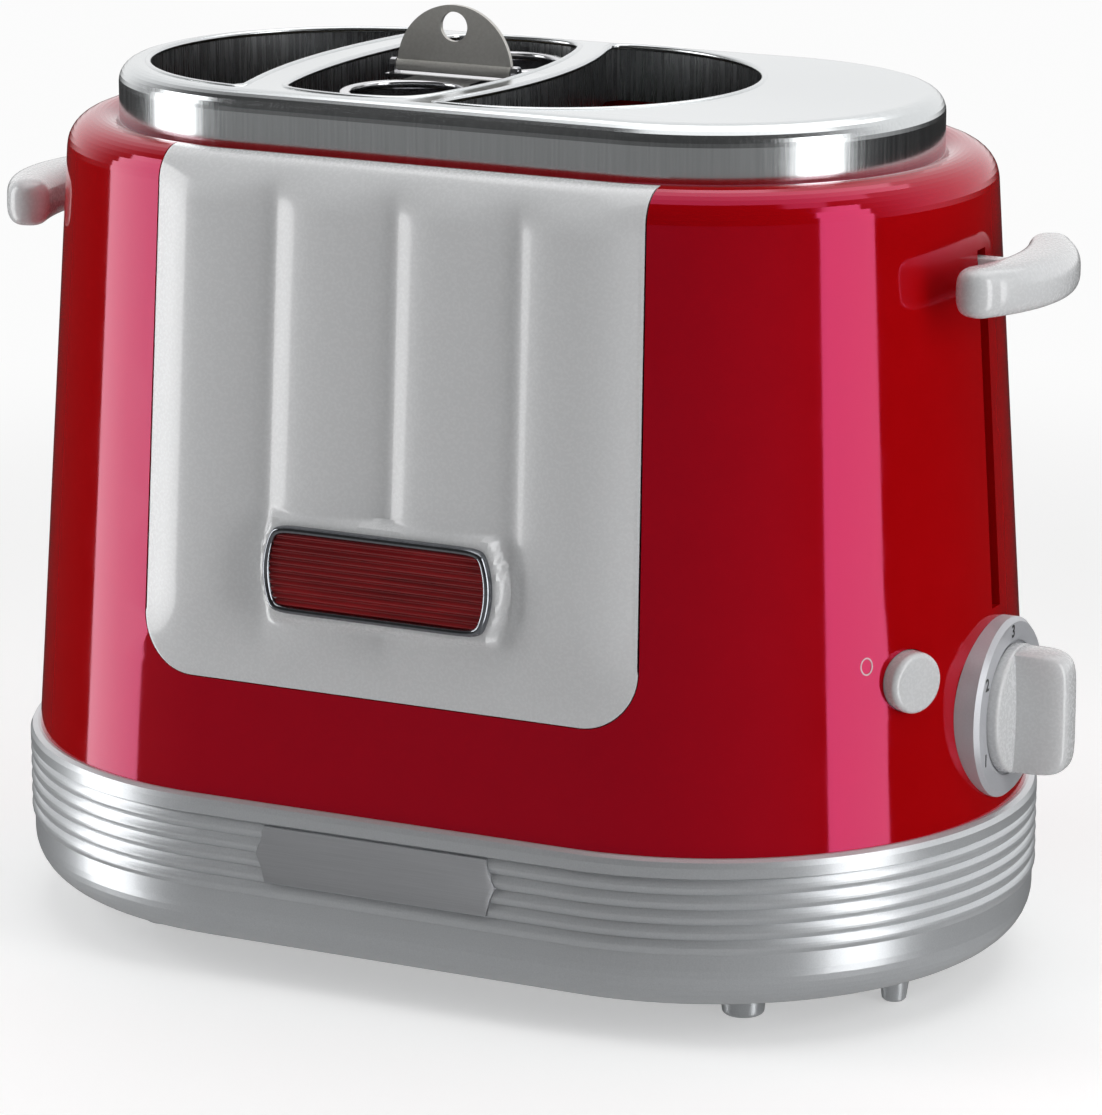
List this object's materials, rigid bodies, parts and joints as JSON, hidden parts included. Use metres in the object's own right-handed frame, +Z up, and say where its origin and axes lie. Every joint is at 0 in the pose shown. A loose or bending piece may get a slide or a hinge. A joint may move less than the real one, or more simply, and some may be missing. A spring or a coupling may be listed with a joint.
{
  "type": "hot dog toaster",
  "caption": "Countertop toaster with bun slots, a lift-out sausage basket, twin levers, a timer knob and a crumb tray.",
  "frame": {"origin": "on the worktop under the middle of the part", "axes": "+Z up, +X towards the end with the timer knob, -Y towards the front with the ribbed panel"},
  "size_m": [0.3127, 0.1791, 0.2506],
  "materials": {
    "satin_silver": "satin",
    "zinc_steel": "satin",
    "bright_plate": "satin",
    "black_plastic": "matte",
    "red_plastic": "gloss",
    "white_plastic": "gloss",
    "gray_plastic": "matte",
    "dark_chrome": "polished",
    "red_lens": "gloss",
    "brushed_steel": "brushed",
    "dark_steel": "satin",
    "mica": "matte",
    "ribbon_wire": "matte",
    "spring_steel": "satin",
    "brass": "satin",
    "circuit_board": "gloss",
    "basket_steel": "satin"
  },
  "bodies": {
    "housing": {"base_shell": "satin_silver", "foot_front_left": "satin_silver", "foot_front_right": "satin_silver", "foot_rear_left": "satin_silver", "foot_rear_right": "satin_silver", "end_pegs": "satin_silver", "base_screws": "zinc_steel", "name_plate": "bright_plate", "cord_gland": "black_plastic", "outer_shell": "red_plastic", "front_panel": "white_plastic", "badge_bezel": "dark_chrome", "badge_lens": "red_lens", "top_cover": "brushed_steel", "left_bun_collar": "dark_steel", "middle_collar": "dark_steel", "right_bun_collar": "dark_steel", "chassis_front": "zinc_steel", "chassis_rear": "zinc_steel", "chassis_left": "zinc_steel", "chassis_right": "zinc_steel", "heater_board_1": "mica", "heater_board_2": "mica", "heater_board_3": "mica", "heater_board_4": "mica", "heating_wire_1": "ribbon_wire", "heating_wire_2": "ribbon_wire", "heating_wire_3": "ribbon_wire", "heating_wire_4": "ribbon_wire", "guide_rod_left": "zinc_steel", "guide_rod_right": "zinc_steel", "rod_bracket_left": "zinc_steel", "rod_bracket_right": "zinc_steel", "return_spring_left": "spring_steel", "return_spring_right": "spring_steel", "hold_magnet": "black_plastic", "control_board": "circuit_board", "dial_ring": "satin_silver", "timer_body": "gray_plastic", "button_guide": "black_plastic", "stop_switch": "black_plastic"},
    "carriage": {"carriage_ring": "zinc_steel", "carriage_bush_left": "brass", "carriage_bush_right": "brass", "latch_plate": "zinc_steel", "lever_left": "white_plastic", "lever_right": "white_plastic", "bun_rack_left": "spring_steel", "bun_rack_right": "spring_steel", "basket_rest": "spring_steel"},
    "timer_knob": {"timer_shaft": "zinc_steel", "timer_knob": "white_plastic"},
    "stop_button": {"stop_button": "white_plastic"},
    "crumb_tray": {"crumb_tray": "satin_silver"},
    "basket": {"basket_wells": "basket_steel", "basket_bridge": "basket_steel", "hinge_pin": "basket_steel"},
    "basket_handle": {"basket_handle": "basket_steel"}
  },
  "joints": [
    {"name": "carriage_slide", "type": "slide", "parent": "housing", "child": "carriage", "axis": [0, 0, -1], "range_m": [0, 0.08], "stiffness_N_per_m": 80, "springref_m": -0.2, "deforming": ["return_spring_left", "return_spring_right"]},
    {"name": "timer_turn", "type": "hinge", "parent": "housing", "child": "timer_knob", "pos_m": [0.15, 0, 0.0775], "axis": [1, 0, 0], "range_deg": [-120, 120]},
    {"name": "stop_press", "type": "slide", "parent": "housing", "child": "stop_button", "axis": [-0.8878, 0.4602, 0], "range_m": [0, 0.0025], "stiffness_N_per_m": 300, "springref_m": -0.002},
    {"name": "crumb_tray_slide", "type": "slide", "parent": "housing", "child": "crumb_tray", "axis": [0, 1, 0], "range_m": [0, 0.12]},
    {"name": "basket_lift", "type": "slide", "parent": "carriage", "child": "basket", "axis": [0, 0, 1], "range_m": [0, 0.13]},
    {"name": "basket_handle_fold", "type": "hinge", "parent": "basket", "child": "basket_handle", "pos_m": [-0.0215, 0.001, 0.2336], "axis": [1, 0, 0], "range_deg": [-88, 88]}
  ]
}
